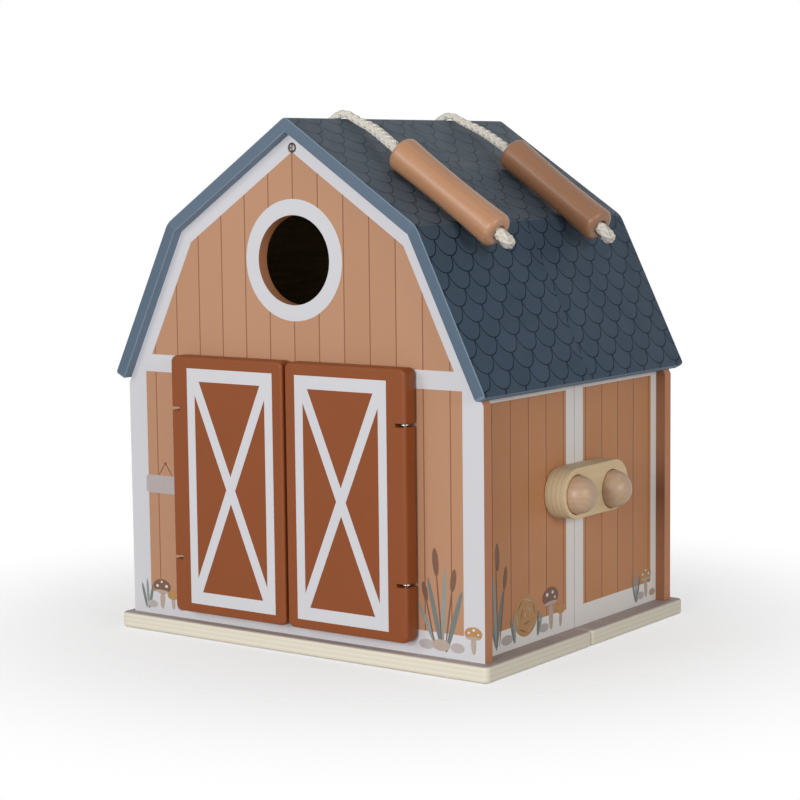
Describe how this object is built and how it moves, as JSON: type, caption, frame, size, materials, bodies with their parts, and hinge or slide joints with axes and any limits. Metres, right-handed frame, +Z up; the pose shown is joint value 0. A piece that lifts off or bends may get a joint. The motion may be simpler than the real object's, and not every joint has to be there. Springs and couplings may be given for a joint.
{
  "type": "toy barn with opening doors",
  "caption": "Wooden toy barn in two hinged halves with a gambrel roof, a pair of doors, a round window, rope handles with turned grips and a block latch on two pegs.",
  "frame": {"origin": "middle of the seam between the two halves, on the underside of the base", "axes": "+X to the latch side, -Y out of the doors, +Z up"},
  "size_m": [0.3107, 0.2455, 0.3406],
  "materials": {
    "wall_board": "printed plank pattern on plywood, satin lacquer",
    "roof_board": "printed scallop shingles on plywood, satin",
    "base_board": "thin grey wash on plywood, matt",
    "bare_plywood": "bare plywood with visible layers",
    "door_board": "brown print with white frames, satin",
    "turned_grip": "turned wood, satin",
    "turned_peg": "turned beech, satin",
    "cotton_rope": "braided cotton",
    "steel": "bright wire and screws",
    "brass": "brushed"
  },
  "bodies": {
    "rear_half": {"base_rear": "base_board", "gable_rear": "wall_board", "side_rear_left": "wall_board", "side_rear_right": "wall_board", "roof_rear_left_upper": "roof_board", "roof_rear_left_lower": "roof_board", "roof_rear_right_upper": "roof_board", "roof_rear_right_lower": "roof_board", "ridge_batten_rear": "bare_plywood", "gable_screw_rear": "steel", "hinge_post_rear": "bare_plywood", "hinge_leaves_rear": "brass", "hinge_screws_rear": "brass", "hinge_pins": "brass", "latch_peg_rear": "turned_peg", "handle_rope_rear": "cotton_rope", "rope_knots_rear": "cotton_rope"},
    "front_half": {"base_front": "base_board", "gable_front": "wall_board", "side_front_left": "wall_board", "side_front_right": "wall_board", "roof_front_left_upper": "roof_board", "roof_front_left_lower": "roof_board", "roof_front_right_upper": "roof_board", "roof_front_right_lower": "roof_board", "ridge_batten_front": "bare_plywood", "gable_screw_front": "steel", "hinge_post_front": "bare_plywood", "hinge_leaves_front": "brass", "hinge_screws_front": "brass", "latch_peg_front": "turned_peg", "handle_rope_front": "cotton_rope", "rope_knots_front": "cotton_rope", "door_eyes": "steel"},
    "door_left": {"door_left": "door_board", "door_pins_left": "steel"},
    "door_right": {"door_right": "door_board", "door_pins_right": "steel"},
    "latch_link": {"latch_block": "bare_plywood"},
    "grip_front": {"grip_front": "turned_grip"},
    "grip_rear": {"grip_rear": "turned_grip"}
  },
  "joints": [
    {"name": "barn_open", "type": "hinge", "parent": "rear_half", "child": "front_half", "pos_m": [-0.148, 0, 0], "axis": [0, 0, -1], "range_deg": [0, 180]},
    {"name": "door_left_open", "type": "hinge", "parent": "front_half", "child": "door_left", "pos_m": [-0.0881, -0.11975, 0.1], "axis": [0, 0, -1], "range_deg": [0, 165]},
    {"name": "door_right_open", "type": "hinge", "parent": "front_half", "child": "door_right", "pos_m": [0.0881, -0.11975, 0.1], "axis": [0, 0, 1], "range_deg": [0, 165]},
    {"name": "latch_pull", "type": "slide", "parent": "rear_half", "child": "latch_link", "axis": [1, 0, 0], "range_m": [0, 0.04]},
    {"name": "grip_front_spin", "type": "hinge", "parent": "front_half", "child": "grip_front", "pos_m": [0.05407, -0.0737, 0.31202], "axis": [0.829, -0.0131, -0.5591], "continuous": true},
    {"name": "grip_rear_spin", "type": "hinge", "parent": "rear_half", "child": "grip_rear", "pos_m": [0.05474, 0.0504, 0.31157], "axis": [0.8261, -0.0837, -0.5572], "continuous": true}
  ]
}
